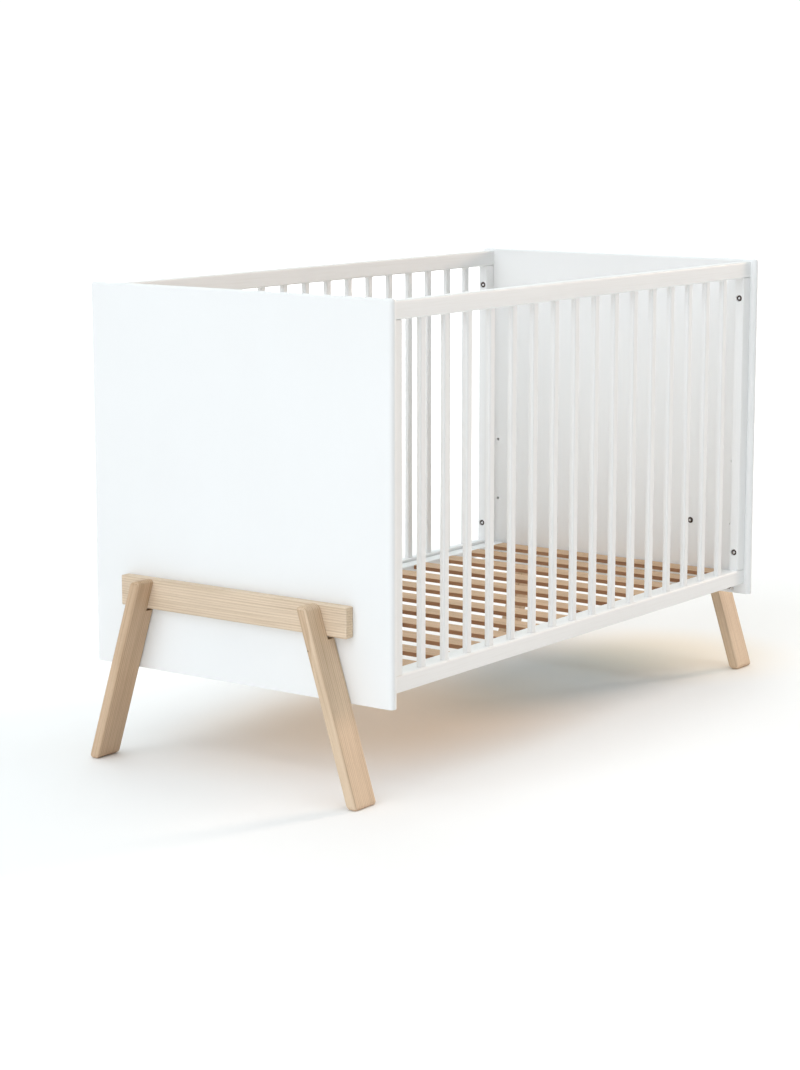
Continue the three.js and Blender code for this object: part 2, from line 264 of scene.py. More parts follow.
# %% [markdown]
# ## Materials from nodes
# A picture of wood or paint would repeat and blur close up. Noise worked out at every point does
# neither, and it has a real scale: a scale of 1000 makes cells one millimetre wide. Paint and
# timber read the object's own coordinates, turned so that the first one runs along the grain.

# %% Make nodes and read the point
def new_material(name):
    """A material with nodes, and its principled shader."""
    material = bpy.data.materials.new(name)
    material.use_nodes = True
    return material, material.node_tree.nodes["Principled BSDF"]


def add_node(tree, kind, inputs=None, **settings):
    """A node of a kind, with settings and with inputs that are values or other sockets."""
    node = tree.nodes.new(kind)
    for name, value in settings.items():
        setattr(node, name, value)
    for name, value in (inputs or {}).items():
        if isinstance(value, bpy.types.NodeSocket):
            tree.links.new(value, node.inputs[name])
        else:
            node.inputs[name].default_value = value
    return node


def along_grain(tree, grain, flat):
    """The point as (distance along the grain, across the face, into the face): three dot
    products of the object's coordinates with the grain and two directions square to it."""
    grain = np.array(grain, float) / np.linalg.norm(grain)
    across = np.cross(flat, grain)
    across /= np.linalg.norm(across)
    inwards = np.cross(grain, across)
    place = add_node(tree, "ShaderNodeTexCoord").outputs["Object"]
    parts = []
    for direction in (grain, across, inwards):
        dot = add_node(tree, "ShaderNodeVectorMath", {0: place}, operation="DOT_PRODUCT")
        dot.inputs[1].default_value = direction
        parts.append(dot.outputs["Value"])
    joined = add_node(tree, "ShaderNodeCombineXYZ", dict(zip("XYZ", parts)))
    return joined.outputs["Vector"]


print("made:", ", ".join(made.__name__ for made in (new_material, add_node, along_grain)))

# %% [markdown]
# ## Noise, colours and bumps
# Paint and timber are the same few steps again and again: noise, a ramp that turns it into
# colours, a mix of two colours and a bump. Each step is a short function here, because a recipe
# of such steps reads better than a long list of nodes and links.

# %% Make noise, colours and bumps
def stretched_noise(tree, vector, scale, detail=3.0, roughness=0.5):
    """Noise whose cells are 1 / scale metres long in each direction."""
    mapping = add_node(tree, "ShaderNodeMapping", {"Vector": vector, "Scale": scale})
    inputs = {"Vector": mapping.outputs["Vector"], "Scale": 1.0, "Detail": detail,
              "Roughness": roughness}
    return add_node(tree, "ShaderNodeTexNoise", inputs).outputs["Fac"]


def ramp(tree, value, stops):
    """A colour ramp of (position, colour) stops."""
    node = add_node(tree, "ShaderNodeValToRGB", {"Fac": value})
    elements = node.color_ramp.elements
    while len(elements) < len(stops):
        elements.new(0.5)
    for element, (position, colour) in zip(elements, stops):
        element.position = position
        element.color = (*colour, 1.0)
    return node.outputs["Color"]


def spread(tree, value, low, high):
    """A value from 0 to 1 spread between low and high."""
    inputs = {"Value": value, "To Min": low, "To Max": high}
    return add_node(tree, "ShaderNodeMapRange", inputs).outputs["Result"]


def mix_colours(tree, blend, factor, first, second):
    """Two colours mixed in a blend mode."""
    node = add_node(tree, "ShaderNodeMix", data_type="RGBA", blend_type=blend)
    for index, value in ((0, factor), (6, first), (7, second)):
        if isinstance(value, bpy.types.NodeSocket):
            tree.links.new(value, node.inputs[index])
        else:
            node.inputs[index].default_value = value
    return node.outputs[2]


def raise_by(tree, shader, height, distance, below=None):
    """Bumps the shader by a height, on top of another bump if one is given."""
    inputs = {"Height": height, "Distance": distance, "Strength": 1.0}
    if below is not None:
        inputs["Normal"] = below
    normal = add_node(tree, "ShaderNodeBump", inputs).outputs["Normal"]
    tree.links.new(normal, shader.inputs["Normal"])
    return normal


print("made:", ", ".join(made.__name__ for made in (stretched_noise, ramp, spread, mix_colours, raise_by)))

# %% [markdown]
# ## White paint
# The panels are painted fibreboard: nearly smooth, with the faint orange peel of a sprayed
# coat. The rails, stiles and bars are painted solid wood, so a little of the grain still shows
# through as long, shallow streaks. One function makes both, from how deep the streaks are and
# which way they run.

# %% Mix the paint
# How many noise cells there are in a metre: along the grain, across it and into the face.
PAINT_CLOUDS = (3, 5, 5)
PAINT_STREAKS = (9, 420, 420)
PAINT_PEEL = (700, 700, 700)
PAINT_ROUGHNESS = (0.34, 0.50)
PEEL_DEPTH = 0.00003
FULL_STREAK_DEPTH = 0.00012
PAINT_WHITE = (0.885, 0.895, 0.895)
PAINT_SHADE = (0.872, 0.880, 0.878)


def white_paint(name, grain, streak_depth):
    """Satin white paint. Streaks along the grain are streak_depth metres deep, over an orange
    peel of cells about a millimetre wide."""
    material, shader = new_material(name)
    tree = material.node_tree
    flat = (0, 1, 0) if grain[1] == 0 else (1, 0, 0)
    point = along_grain(tree, grain, flat)
    clouds = stretched_noise(tree, point, PAINT_CLOUDS, detail=4.0)
    streaks = stretched_noise(tree, point, PAINT_STREAKS, detail=4.0, roughness=0.6)
    peel = stretched_noise(tree, point, PAINT_PEEL, detail=2.0)
    tone = ramp(tree, clouds, [(0.30, PAINT_SHADE), (0.62, PAINT_WHITE)])
    lines = ramp(tree, streaks, [(0.30, (0.965, 0.960, 0.952)), (0.52, (1, 1, 1))])
    shown = min(1.0, streak_depth / FULL_STREAK_DEPTH)
    colour = mix_colours(tree, "MULTIPLY", shown, tone, lines)
    tree.links.new(colour, shader.inputs["Base Color"])
    tree.links.new(spread(tree, peel, *PAINT_ROUGHNESS), shader.inputs["Roughness"])
    shader.inputs["Specular IOR Level"].default_value = 0.45
    below = raise_by(tree, shader, streaks, streak_depth)
    raise_by(tree, shader, peel, PEEL_DEPTH, below=below)
    return material


panel_paint = white_paint("panel_paint", (0, 0, 1), 0.00001)
rail_paint = white_paint("rail_paint", (1, 0, 0), 0.00010)
upright_paint = white_paint("upright_paint", (0, 0, 1), 0.00006)
print("paints:", panel_paint.name, rail_paint.name, upright_paint.name)

# %% [markdown]
# ## Timber
# The legs and beams are pale, straight-grained wood under a thin matt varnish. Seen close, wood
# is three things at once: growth rings a few millimetres apart, fibres far longer than they are
# wide, and pores like short pencil dashes. Each is noise stretched along the grain by its own
# amount. On end grain the fibres are cut across, so the wood is darker there. The legs at the
# back are given darker, browner tones than those at the front: painted shade, for their inner
# faces that stand in the crib's shadow.

# %% Darken end grain and knots
END_GRAIN_TONE = (0.95, 0.92, 0.86)
FACING_STARTS, FACING_FULL = 0.80, 0.97
KNOT_CORE_SHARE = 0.4
KNOT_STRENGTH = 0.85
KNOT_TONE = 0.30


def darken_facing(tree, colour, direction, tone):
    """The colour times a tone on faces that look along a direction, by |normal . direction|."""
    normal = add_node(tree, "ShaderNodeNewGeometry").outputs["Normal"]
    facing = add_node(tree, "ShaderNodeVectorMath", {0: normal}, operation="DOT_PRODUCT")
    facing.inputs[1].default_value = np.array(direction, float) / np.linalg.norm(direction)
    amount = add_node(tree, "ShaderNodeMath", {0: facing.outputs["Value"]}, operation="ABSOLUTE")
    share = add_node(tree, "ShaderNodeMapRange", {
        "Value": amount.outputs[0], "From Min": FACING_STARTS, "From Max": FACING_FULL,
    }).outputs["Result"]
    return mix_colours(tree, "MULTIPLY", share, colour, (*tone, 1))


def add_knot(tree, colour, knot, dark):
    """A small dark pin knot: a spot that fades out over its radius round a place."""
    place, radius = knot
    point = add_node(tree, "ShaderNodeTexCoord").outputs["Object"]
    gap = add_node(tree, "ShaderNodeVectorMath", {0: point}, operation="DISTANCE")
    gap.inputs[1].default_value = place
    spot = add_node(tree, "ShaderNodeMapRange", {
        "Value": gap.outputs["Value"], "From Min": radius * KNOT_CORE_SHARE, "From Max": radius,
        "To Min": KNOT_STRENGTH, "To Max": 0.0,
    }).outputs["Result"]
    return mix_colours(tree, "MIX", spot, colour, (*(KNOT_TONE * np.array(dark)), 1))


print("end grain tone:", END_GRAIN_TONE)

# %% [markdown]
# ## How a board is built up
# Rings come first, as a wave across the face that slow noise bends a little. Then come fibres,
# wide blotches and pores, each multiplied over the last. The fibres also set how the varnish
# shines, and together with the pores they raise the surface by a tenth of a millimetre.

# %% Grow the timber
RING_GAP = 0.0045
RING_WANDER = 0.005
WAVE_UNIT = 20.0
# How many noise cells there are in a metre: along the grain, across it and into the face.
RING_BENDS = (2.2, 14, 14)
FIBRES = (5, 300, 300)
PORES = (110, 2600, 2600)
BLOTCHES = (3.5, 16, 9)
FIBRE_DEPTH = 0.00010
PORE_DEPTH = 0.00006
VARNISH_ROUGHNESS = (0.62, 0.44)


def timber(name, grain, flat, tones, knot=None, painted_side_shade=None):
    """Wood of (pale, middle, dark) tones with its grain along a direction. Rings are a saw wave
    of the distance across the face, one for each RING_GAP. Blender's wave texture repeats every
    2 pi / WAVE_UNIT at a scale of 1, so the scale below makes it repeat every RING_GAP."""
    material, shader = new_material(name)
    tree = material.node_tree
    pale, middle, dark = tones
    point = along_grain(tree, grain, flat)
    wander = stretched_noise(tree, point, RING_BENDS, detail=2.0)
    wave_bend = add_node(tree, "ShaderNodeVectorMath", {0: point}, operation="ADD")
    shift = add_node(tree, "ShaderNodeCombineXYZ", {"Y": spread(tree, wander, -RING_WANDER, RING_WANDER)})
    tree.links.new(shift.outputs["Vector"], wave_bend.inputs[1])
    scale = 2 * math.pi / WAVE_UNIT / RING_GAP
    wave = add_node(tree, "ShaderNodeTexWave", {
        "Vector": wave_bend.outputs["Vector"], "Scale": scale, "Distortion": 0.35,
        "Detail": 2.0, "Detail Scale": 0.5,
    }, bands_direction="Y", wave_profile="SAW")
    fibres = stretched_noise(tree, point, FIBRES, detail=4.0, roughness=0.55)
    pores = stretched_noise(tree, point, PORES, detail=1.0)
    clouds = stretched_noise(tree, point, BLOTCHES, detail=3.0)

    late_wood = [(0.0, pale), (0.55, middle), (0.93, dark), (1.0, pale)]
    rings = ramp(tree, wave.outputs["Fac"], late_wood)
    ground = mix_colours(tree, "MIX", 0.55, (*middle, 1), rings)
    streaks = [(0.28, (0.80, 0.75, 0.69)), (0.50, (1, 1, 1)), (0.75, (1.08, 1.08, 1.08))]
    colour = mix_colours(tree, "MULTIPLY", 0.9, ground, ramp(tree, fibres, streaks))
    blotchy = ramp(tree, clouds, [(0.30, (0.90, 0.88, 0.85)), (0.65, (1.06, 1.06, 1.05))])
    colour = mix_colours(tree, "MULTIPLY", 0.9, colour, blotchy)
    dashes = ramp(tree, pores, [(0.27, (0.72, 0.66, 0.58)), (0.36, (1, 1, 1))])
    colour = mix_colours(tree, "MULTIPLY", 0.6, colour, dashes)

    colour = darken_facing(tree, colour, grain, END_GRAIN_TONE)
    if knot is not None:
        colour = add_knot(tree, colour, knot, dark)
    # Painted shade on the faces that look along a direction, used for the slats' side faces.
    if painted_side_shade is not None:
        colour = darken_facing(tree, colour, *painted_side_shade)
    tree.links.new(colour, shader.inputs["Base Color"])
    tree.links.new(spread(tree, fibres, *VARNISH_ROUGHNESS), shader.inputs["Roughness"])
    shader.inputs["Specular IOR Level"].default_value = 0.38
    below = raise_by(tree, shader, fibres, FIBRE_DEPTH)
    raise_by(tree, shader, pores, PORE_DEPTH, below=below)
    return material


print("a growth ring every", RING_GAP, "m")

# %% [markdown]
# ## The boards of this crib
# Each kind of board has three tones, from pale early wood to dark late wood. The beams' and legs'
# grain follows their length, so a leg's grain leans with it. The slats are cut from a browner
# wood, and their side faces are darkened with painted shade, darker than their planed tops.

# %% Choose the boards
BEAM_TONES = ((0.80, 0.67, 0.53), (0.72, 0.585, 0.445), (0.55, 0.41, 0.29))
# The back legs' darker tones are painted shade for their shaded inner faces.
LEG_TONES = {
    "front": ((0.765, 0.61, 0.45), (0.68, 0.52, 0.37), (0.50, 0.345, 0.22)),
    "back": ((0.675, 0.505, 0.355), (0.60, 0.43, 0.288), (0.44, 0.29, 0.175)),
}
SLAT_TONES = ((0.69, 0.485, 0.31), (0.60, 0.40, 0.245), (0.43, 0.255, 0.145))
# Painted shade: the slats' side faces are darkened below their tops.
SLAT_SIDE_SHADE_TONE = (0.52, 0.39, 0.31)
KNOT = ((-0.683, -0.2019, 0.2614), 0.0022)
LEG_SPLAY = math.radians(17.75)

lean_up = math.tan(LEG_SPLAY)
beam_wood = timber("beam_wood", (0, 1, 0), (1, 0, 0), BEAM_TONES)
leg_wood = {}
for side, sign in SIDES.items():
    grain = (0, -sign * lean_up, 1)
    leg_wood[side] = timber("leg_wood_" + side, grain, (0, 1, 0), LEG_TONES[side], knot=KNOT)
slat_wood = timber("slat_timber", (0, 1, 0), (0, 0, 1), SLAT_TONES, painted_side_shade=((1, 0, 0), SLAT_SIDE_SHADE_TONE))
print("timbers:", beam_wood.name, *(m.name for m in leg_wood.values()), slat_wood.name)

# %% [markdown]
# ## Zinc-plated steel
# Bolts and brackets are bright zinc plate: a metal whose polish varies in fine patches, with
# hair-thin turning marks. The washers under the bolt heads are nearly black steel, the same
# recipe with darker colours and less polish: painted shade, for the shadowed ring round each head.

# %% Plate the steel
POLISH_PATCHES = (260, 260, 260)
TURNING_MARKS = (400, 5000, 5000)
MARK_DEPTH = 0.00001


def plated(name, dull, bright, rough):
    """Metal with uneven polish: its colour runs from dull to bright in patches a few millimetres
    wide, and its roughness follows them between two values."""
    material, shader = new_material(name)
    tree = material.node_tree
    point = add_node(tree, "ShaderNodeTexCoord").outputs["Object"]
    patches = stretched_noise(tree, point, POLISH_PATCHES, detail=4.0)
    marks = stretched_noise(tree, point, TURNING_MARKS, detail=2.0)
    tree.links.new(ramp(tree, patches, [(0.3, dull), (0.7, bright)]), shader.inputs["Base Color"])
    shader.inputs["Metallic"].default_value = 1.0
    tree.links.new(spread(tree, patches, *rough), shader.inputs["Roughness"])
    raise_by(tree, shader, marks, MARK_DEPTH)
    return material


steel = plated("zinc_plate", (0.62, 0.63, 0.65), (0.85, 0.86, 0.87), (0.16, 0.38))
# Painted shade: the washers' near-black steel stands for the shadowed ring round each bolt head.
washer_shade_steel = plated("painted_shade_steel", (0.070, 0.052, 0.046), (0.13, 0.10, 0.09), (0.30, 0.50))
print("metals:", steel.name, washer_shade_steel.name)

# %% [markdown]
# ## The end panels
# Each end is one solid board with fully rounded upright edges. Its inner face has two upright
# rows of blind holes, each with one hole for each height of the bed base. Other holes take the
# bolts of the sides and the legs. The base's joint says how far apart its heights are, so the
# spacing is read from there and isn't measured again.

# %% Name the drilled sizes
LEVEL_COUNT = 3
LEVEL_SPACING = frame["joints"][0]["range_m"][1] / (LEVEL_COUNT - 1)
LEVEL_HOLE_RADIUS = 0.00325
LEVEL_HOLE_DEPTH = 0.012
LEG_BOLT_RADIUS = 0.004
LEG_BOLT_WASHER = 0.0062
STILE_BOLT_RADIUS = 0.003
STILE_BOLT_WASHER = 0.0058
STILE_BOLT_BORE = 0.0066
STILE_BOLT_BORE_DEPTH = 0.0030
STILE_BOLT_IN_PANEL = 0.010
STILE_BOLT_FROM_RAIL = {"bottom": 0.0370, "top": 0.0401}
DRILL_PLAY = 0.0003
OVERSHOOT = 0.004
BRACKET_BELOW_BOLT = 0.008

bolt_height = middle_and_half("leg_beam_left")[0][2]
lowest_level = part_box("base_bracket_left_front")[0][2] + BRACKET_BELOW_BOLT
print("bolt height:", round(bolt_height, 4), "m, lowest level:", round(lowest_level, 4), "m")

# %% [markdown]
# ## Where the drills go
# On the bench one drill goes through every piece that a bolt will hold, so the holes line up. The
# same is done here: the drills are worked out once from the bolts' own places, and every panel,
# beam and leg of that end is cut with all of them.

# %% Work out the drills
def leg_bolt_places(end):
    """Where an end's two leg bolts leave the panel's inner face."""
    face = ENDS[end] * min(abs(edge[0]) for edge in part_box("end_panel_" + end))
    middles = {side: middle_and_half(f"leg_bolt_{end}_{side}")[0] for side in SIDES}
    return {side: (face, middle[1], bolt_height) for side, middle in middles.items()}


def stile_bolt_places(end, side):
    """Where a stile's two bolts enter its inner face, near the bottom and the top rail."""
    middle, half = middle_and_half(f"stile_{end}_{side}")
    heights = {"bottom": rail_gap[0] + STILE_BOLT_FROM_RAIL["bottom"],
               "top": rail_gap[1] - STILE_BOLT_FROM_RAIL["top"]}
    return {place: (middle[0] - ENDS[end] * half[0], middle[1], z) for place, z in heights.items()}


def bolt_drills(end):
    """Drills for every bolt through or into an end: two for the legs and four for the stiles."""
    sign = ENDS[end]
    drills = []
    for side in SIDES:
        place = leg_bolt_places(end)[side]
        tip = sign * max(abs(edge[0]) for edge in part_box(f"leg_bolt_{end}_{side}"))
        inside = (place[0] - sign * OVERSHOOT, *place[1:])
        drills.append(drill_mesh(inside, tip + sign * DRILL_PLAY, LEG_BOLT_RADIUS + DRILL_PLAY))
        for entry in stile_bolt_places(end, side).values():
            start = (entry[0] - sign * OVERSHOOT, *entry[1:])
            stop = place[0] + sign * (STILE_BOLT_IN_PANEL + DRILL_PLAY)
            drills.append(drill_mesh(start, stop, STILE_BOLT_RADIUS + DRILL_PLAY))
    return drills


print("bolts at each end:", len(SIDES) * (1 + len(STILE_BOLT_FROM_RAIL)))

# %% [markdown]
# ## Making the panels
# A panel is one upright board. Its rounded upright edges are nearly half its thickness, its top
# edge is eased and its foot is almost square, as on a painted board that was shaped on a router.
# The real thing is drilled before it is painted, and here too the holes are cut first.

# %% Make the panels
PANEL_NOSE = 0.0089
PANEL_TOP_EASE = 0.0048
PANEL_FOOT_EASE = 0.001


def panel_mesh(end):
    """A tall board with a round nose, drilled with its level holes and bolt holes."""
    node = "end_panel_" + end
    middle, half = middle_and_half(node)
    rings = board_rings("z", middle, half, PANEL_NOSE, (PANEL_FOOT_EASE, PANEL_TOP_EASE))
    drills = bolt_drills(end)
    face = middle[0] - ENDS[end] * half[0]
    for side in SIDES:
        y = middle_and_half(f"base_bracket_{end}_{side}")[0][1]
        for level in range(LEVEL_COUNT):
            z = lowest_level + level * LEVEL_SPACING
            start = (face - ENDS[end] * OVERSHOOT, y, z)
            stop = face + ENDS[end] * LEVEL_HOLE_DEPTH
            drills.append(drill_mesh(start, stop, LEVEL_HOLE_RADIUS))
    return cut_away(shell_mesh(node, rings), drills)


for end in ENDS:
    node = "end_panel_" + end
    add_board("panel_" + end, panel_mesh(end), panel_paint, "crib_frame", "white_paint", node)
print("panels:", len(ENDS), "with", LEVEL_COUNT, "levels,", round(LEVEL_SPACING, 3), "m apart")

# %% [markdown]
# ## The sides
# Two rails run from panel to panel. Between them stand two stiles, which take the bolts, and
# the bars. Every long edge is rounded, so where a bar meets a rail the light catches a small
# groove. The hidden tenons are left to the CAD model.

# %% Shape the uprights
STILE_ARRIS = 0.0025
DRILL_REACH = 0.1


def between_rails(node):
    """A stile's or bar's middle and half size without the tenons: from rail to rail."""
    middle, half = middle_and_half(node)
    middle[2], half[2] = sum(rail_gap) / 2, (rail_gap[1] - rail_gap[0]) / 2
    return middle, half


def stile_mesh(end, side):
    """A stile with a round counterbore for each of its bolt heads."""
    rings = board_rings("z", *between_rails(f"stile_{end}_{side}"), STILE_ARRIS)
    sign = ENDS[end]
    drills = []
    for entry in stile_bolt_places(end, side).values():
        start = (entry[0] - sign * OVERSHOOT, *entry[1:])
        drills.append(drill_mesh(start, entry[0] + sign * STILE_BOLT_BORE_DEPTH, STILE_BOLT_BORE))
        through = entry[0] + sign * DRILL_REACH
        drills.append(drill_mesh(start, through, STILE_BOLT_RADIUS + DRILL_PLAY))
    return cut_away(shell_mesh(f"stile_{end}_{side}", rings), drills)


print("an upright is", round(2 * between_rails("bar_front_01")[1][2], 4), "m long between the rails")

# %% [markdown]
# ## Putting the sides together
# The pieces take their places from their nodes, so one loop over names makes each kind. Rails are
# painted along X and uprights along Z, because paint shows the grain of the wood below it.

# %% Make the rails, bars and stiles
RAIL_ARRIS = 0.004
BAR_ARRIS = 0.003

for node in [n for n in frame["nodes"] if "rail" in n]:
    mesh = shell_mesh(node, board_rings("x", *middle_and_half(node), RAIL_ARRIS))
    add_board("painted_" + node, mesh, rail_paint, "crib_frame", "white_paint", node)
for node in [n for n in frame["nodes"] if n.startswith("bar_")]:
    mesh = shell_mesh(node, board_rings("z", *between_rails(node), BAR_ARRIS))
    add_board("painted_" + node, mesh, upright_paint, "crib_frame", "white_paint", node)
for end in ENDS:
    for side in SIDES:
        node = f"stile_{end}_{side}"
        mesh = stile_mesh(end, side)
        add_board("painted_" + node, mesh, upright_paint, "crib_frame", "white_paint", node)
print("bars:", sum(n.startswith("bar_") for n in frame["nodes"]))

# %% [markdown]
# ## The leg frames
# A beam lies flat on each panel, and two boards on edge are notched to sit over it. The legs
# lean outwards but their feet are cut level, so each ring of a leg is moved sideways instead
# of the whole board being turned.

# %% Shape a leg
LEG_THICKNESS = 0.020
LEG_TOP_OFFSET = 0.1846
LEG_ARRIS = 0.005
LEG_END_EASE = 0.008
LEG_FIT = 0.0003
LEG_SHOULDER_GAP = 0.005
NOTCH_REACH = 0.2


def box_mesh(low, high):
    """A plain block between two corners, to cut with."""
    low, high = np.array(low), np.array(high)
    corner = np.array([(0, 0), (1, 0), (1, 1), (0, 1)])
    rings = np.empty((2, 4, 3))
    rings[..., :2] = low[:2] + corner * (high - low)[:2]
    rings[..., 2] = np.array([low[2], high[2]])[:, None]
    return shell_mesh("block", rings)


def leg_mesh(end, side):
    """A leaning board, notched behind so that it passes in front of the beam."""
    sign, across = ENDS[end], SIDES[side]
    middle, half = middle_and_half(f"leg_{end}_{side}")
    half[1] = LEG_THICKNESS / 2 / math.cos(LEG_SPLAY)
    middle[1] = across * (LEG_TOP_OFFSET + half[2] * lean_up)
    lean = (0.0, -across * lean_up)
    rings = board_rings("z", middle, half, LEG_ARRIS, (LEG_END_EASE, LEG_END_EASE), lean)
    beam_low, beam_high = (np.array(corner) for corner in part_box("leg_beam_" + end))
    beam_face = max(abs(beam_low[0]), abs(beam_high[0])) + LEG_FIT
    back = middle[0] - sign * (half[0] + OVERSHOOT)
    edges = sorted((back, sign * beam_face))
    top, shoulder = 2 * middle[2] + OVERSHOOT, beam_low[2] - LEG_SHOULDER_GAP
    low = (edges[0], middle[1] - NOTCH_REACH, shoulder)
    high = (edges[1], middle[1] + NOTCH_REACH, top)
    notch = box_mesh(low, high)
    return cut_away(shell_mesh(f"leg_{end}_{side}", rings), [notch] + bolt_drills(end))


print("legs lean by", round(math.degrees(LEG_SPLAY), 2), "degrees")

# %% [markdown]
# ## Beams and legs in place
# Each end has one beam and two legs, and the same drill goes through all three and the panel, as
# it would with the pieces clamped together on a bench.

# %% Make the beams and legs
BEAM_ARRIS = 0.003
BEAM_END_EASE = 0.003

for end in ENDS:
    node = "leg_beam_" + end
    ease = (BEAM_END_EASE, BEAM_END_EASE)
    mesh = shell_mesh(node, board_rings("y", *middle_and_half(node), BEAM_ARRIS, ease))
    mesh = cut_away(mesh, bolt_drills(end))
    add_board("beam_" + end, mesh, beam_wood, "crib_frame", "leg_wood", node)
    for side in SIDES:
        node = f"leg_{end}_{side}"
        mesh = leg_mesh(end, side)
        add_board("splayed_" + node, mesh, leg_wood[side], "crib_frame", "leg_wood", node)
print("beams:", len(ENDS), "legs:", len(ENDS) * len(SIDES))

# %% [markdown]
# ## The bed base
# Thirteen slats are let into two side rails. In the CAD model they are one solid. Here each is
# its own board, because the rails are painted like the crib while the slats are left as wood,
# and because a slat's side faces take painted shade, darker than its planed top.

# %% Make the slats and their side rails
SLAT_COUNT = 13
SLAT_WIDTH = 0.044
SLAT_THICKNESS = 0.0085
SLAT_BELOW_TOP = 0.0005
SLAT_IN_RAIL = 0.004
SLAT_ARRIS = 0.0014
BASE_RAIL_WIDTH = 0.0295
BASE_RAIL_ARRIS = 0.0015
BASE_RAIL_END_EASE = 0.0012

base_low, base_high = (np.array(corner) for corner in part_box("slatted_base"))


def add_slats():
    """Slats spread evenly from one end of the base to the other."""
    first = base_high[0] - SLAT_WIDTH / 2
    reach = base_high[1] - BASE_RAIL_WIDTH + SLAT_IN_RAIL
    half = np.array([SLAT_WIDTH / 2, reach, SLAT_THICKNESS / 2])
    for i, x in enumerate(np.linspace(-first, first, SLAT_COUNT)):
        middle = np.array([x, 0.0, base_high[2] - SLAT_BELOW_TOP - half[2]])
        name = f"slat_{i + 1:02d}"
        mesh = shell_mesh(name, board_rings("y", middle, half, SLAT_ARRIS))
        add_board(name, mesh, slat_wood, "bed_base", "slat_wood", "slatted_base")


def add_base_rails():
    """The two side rails that the slats' ends are let into."""
    middle, half = (base_low + base_high) / 2, (base_high - base_low) / 2
    half[1] = BASE_RAIL_WIDTH / 2
    ease = (BASE_RAIL_END_EASE, BASE_RAIL_END_EASE)
    for side, sign in SIDES.items():
        middle[1] = sign * (base_high[1] - half[1])
        name = "base_rail_" + side
        mesh = shell_mesh(name, board_rings("x", middle, half, BASE_RAIL_ARRIS, ease))
        add_board(name, mesh, rail_paint, "bed_base", "white_paint", "slatted_base")


add_slats()
add_base_rails()
print("slats:", SLAT_COUNT, "between two side rails")

# %% [markdown]
# ## Lathe work
# Bolts and washers are turned: a profile of (radius, height) points goes once round the axis.
# A ready-made cylinder would leave sharp rims, and it is the rounded rim that catches the light.
# Here the axis lies along X, and "facing" says which way the head looks.

# %% Turn a profile
HEAD_SIDES = 48
DOME_STEPS = 7
DOME_FLAT_SHARE = 0.45
DOME_RIM_SHARE = 0.35


def turned_mesh(name, profile, place, facing):
    """A profile carried round an axis along X: each point (r, h) becomes the ring
    (h * facing, r * cos a, r * sin a) about a place, and the ends are closed."""
    turn = np.linspace(0, 2 * math.pi, HEAD_SIDES, endpoint=False)
    radius, height = np.array(profile).T
    rings = np.empty((len(radius), HEAD_SIDES, 3))
    rings[..., 0] = place[0] + facing * height[:, None]
    rings[..., 1] = place[1] + facing * radius[:, None] * np.cos(turn)
    rings[..., 2] = place[2] + radius[:, None] * np.sin(turn)
    return shell_mesh(name, rings)


def domed_profile(radius, height):
    """Up a short rim and over a low dome: the point at t from 0 to 90 degrees is
    (r * cos t + flat, rim + rise * sin t)."""
    t = np.linspace(0, math.pi / 2, DOME_STEPS + 1)
    flat, rim = radius * DOME_FLAT_SHARE, height * DOME_RIM_SHARE
    dome = np.stack([(radius - flat) * np.cos(t) + flat, rim + (height - rim) * np.sin(t)], axis=-1)
    return np.concatenate([[(radius, 0.0)], dome])


print("sides of a turned piece:", HEAD_SIDES)

# %% [markdown]
# ## Bolts
# A bolt is a shank with a small bright dome, turned in one piece, and its head stands on a dark
# washer, whose near-black colour is painted shade. A stile's bolts sit in shallow counterbores, so
# that no child is scratched by them. A bolt could be cut from a cylinder, but a profile gives its
# chamfers and its dome in one go.

# %% Turn the bolts and washers
WASHER_THICKNESS = 0.0012
BUTTON_RADIUS = 0.0026
BUTTON_RISE = 0.0016
SINK = 0.0001
TIP_SHARE = 0.8
SHANK_CHAMFER = 0.001
NECK_CHAMFER = 0.0004
WASHER_FOOT_SHARE = 0.97
# A washer's rim from below to above, as shares of its radius and its thickness.
WASHER_RIM = ((1.0, 0.6), (0.96, 0.9), (0.90, 1.0))


def washer_mesh(name, place, facing, radius):
    """A thin disc with a rounded rim that lies on a place."""
    foot = [(radius * WASHER_FOOT_SHARE, -SINK), (radius, 2 * SINK)]
    profile = foot + [(radius * wide, WASHER_THICKNESS * high) for wide, high in WASHER_RIM]
    return turned_mesh(name, profile, place, facing)


def button_mesh(name, place, facing, shank_radius, shank_length):
    """A bolt from its tip to its head: a shank, then a small dome that stands on the washer."""
    neck = WASHER_THICKNESS - SINK
    shank = [(shank_radius * TIP_SHARE, -shank_length), (shank_radius, -shank_length + SHANK_CHAMFER),
             (shank_radius, neck - NECK_CHAMFER), (BUTTON_RADIUS, neck)]
    dome = domed_profile(BUTTON_RADIUS, BUTTON_RISE) + np.array([0.0, WASHER_THICKNESS])
    return turned_mesh(name, np.concatenate([shank, dome]), place, facing)


def add_bolt(name, place, facing, washer_radius, shank_radius, shank_length, body, *nodes):
    """A bolt with its washer."""
    bolt = button_mesh(name, place, facing, shank_radius, shank_length)
    add_piece("zinc_" + name, bolt, steel, body, "steel", *nodes)
    washer = washer_mesh("washer_" + name, place, facing, washer_radius)
    add_piece("washer_" + name, washer, washer_shade_steel, body, "steel", *nodes)


print("a bolt's head stands", round(WASHER_THICKNESS + BUTTON_RISE, 4), "m proud")

# %% [markdown]
# ## Fitting the bolts
# Each corner has one leg bolt, which starts on the panel's inner face, and two stile bolts. Only
# the leg bolts have nodes in the CAD model. The stile bolts are worked out from the same places
# as their holes, so they can't miss them.

# %% Fit the bolts
STILE_SHANK_RADIUS = STILE_BOLT_RADIUS * 0.8

